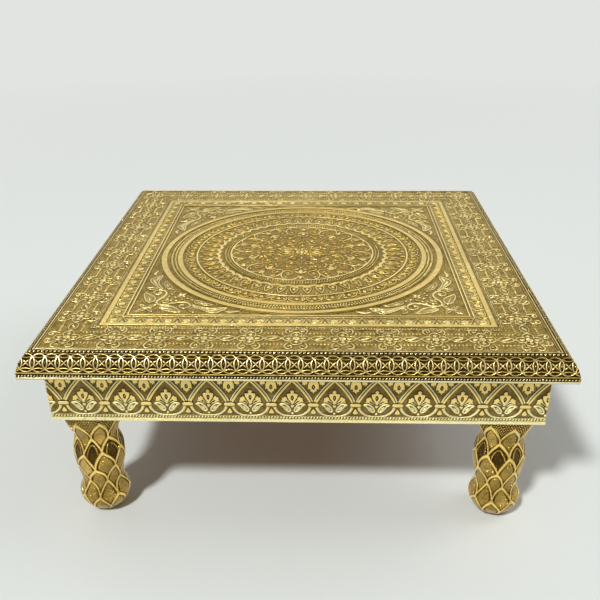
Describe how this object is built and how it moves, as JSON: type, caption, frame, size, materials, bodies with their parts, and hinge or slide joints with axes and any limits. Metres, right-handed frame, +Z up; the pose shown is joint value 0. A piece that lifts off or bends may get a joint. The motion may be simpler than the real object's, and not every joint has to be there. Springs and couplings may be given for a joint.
{
  "type": "bajot low table",
  "caption": "Square low table with a moulded-edge top on a box apron and turned legs, dressed all over in embossed golden sheet.",
  "frame": {"origin": "on the floor under the middle of the table", "axes": "+Z up, the front faces -Y, +X to the right seen from the front"},
  "size_m": [0.4572, 0.4572, 0.186],
  "materials": {
    "timber": "sanded, unpainted",
    "zinc_steel": "zinc plated",
    "top_gold": "embossed sheet, antique gold with darkened ground",
    "edge_gold": "embossed sheet, antique gold with near-black recesses",
    "apron_gold": "embossed sheet, bright motifs on a stippled dark ground",
    "leg_gold": "embossed sheet, glossy, with oxidised hollows"
  },
  "bodies": {
    "root": {"top_board": "timber", "edge_moulding_front": "timber", "edge_moulding_right": "timber", "edge_moulding_back": "timber", "edge_moulding_left": "timber", "apron_rail_front": "timber", "apron_rail_right": "timber", "apron_rail_back": "timber", "apron_rail_left": "timber", "corner_block_front_left": "timber", "corner_block_front_right": "timber", "corner_block_back_right": "timber", "corner_block_back_left": "timber", "leg_front_left": "timber", "leg_front_right": "timber", "leg_back_right": "timber", "leg_back_left": "timber", "hanger_bolt_front_left": "zinc_steel", "hanger_bolt_front_right": "zinc_steel", "hanger_bolt_back_right": "zinc_steel", "hanger_bolt_back_left": "zinc_steel", "leg_washer_front_left": "zinc_steel", "leg_washer_front_right": "zinc_steel", "leg_washer_back_right": "zinc_steel", "leg_washer_back_left": "zinc_steel", "leg_nut_front_left": "zinc_steel", "leg_nut_front_right": "zinc_steel", "leg_nut_back_right": "zinc_steel", "leg_nut_back_left": "zinc_steel", "top_screw_front_left": "zinc_steel", "top_screw_front_right": "zinc_steel", "top_screw_right_left": "zinc_steel", "top_screw_right_right": "zinc_steel", "top_screw_back_left": "zinc_steel", "top_screw_back_right": "zinc_steel", "top_screw_left_left": "zinc_steel", "top_screw_left_right": "zinc_steel", "top_sheet": "top_gold", "border_sheet_front": "top_gold", "border_sheet_right": "top_gold", "border_sheet_back": "top_gold", "border_sheet_left": "top_gold", "moulding_sheet_front": "edge_gold", "moulding_sheet_right": "edge_gold", "moulding_sheet_back": "edge_gold", "moulding_sheet_left": "edge_gold", "apron_sheet_front": "apron_gold", "apron_sheet_right": "apron_gold", "apron_sheet_back": "apron_gold", "apron_sheet_left": "apron_gold", "leg_sheet_front_left": "leg_gold", "leg_sheet_front_right": "leg_gold", "leg_sheet_back_right": "leg_gold", "leg_sheet_back_left": "leg_gold"}
  },
  "joints": []
}
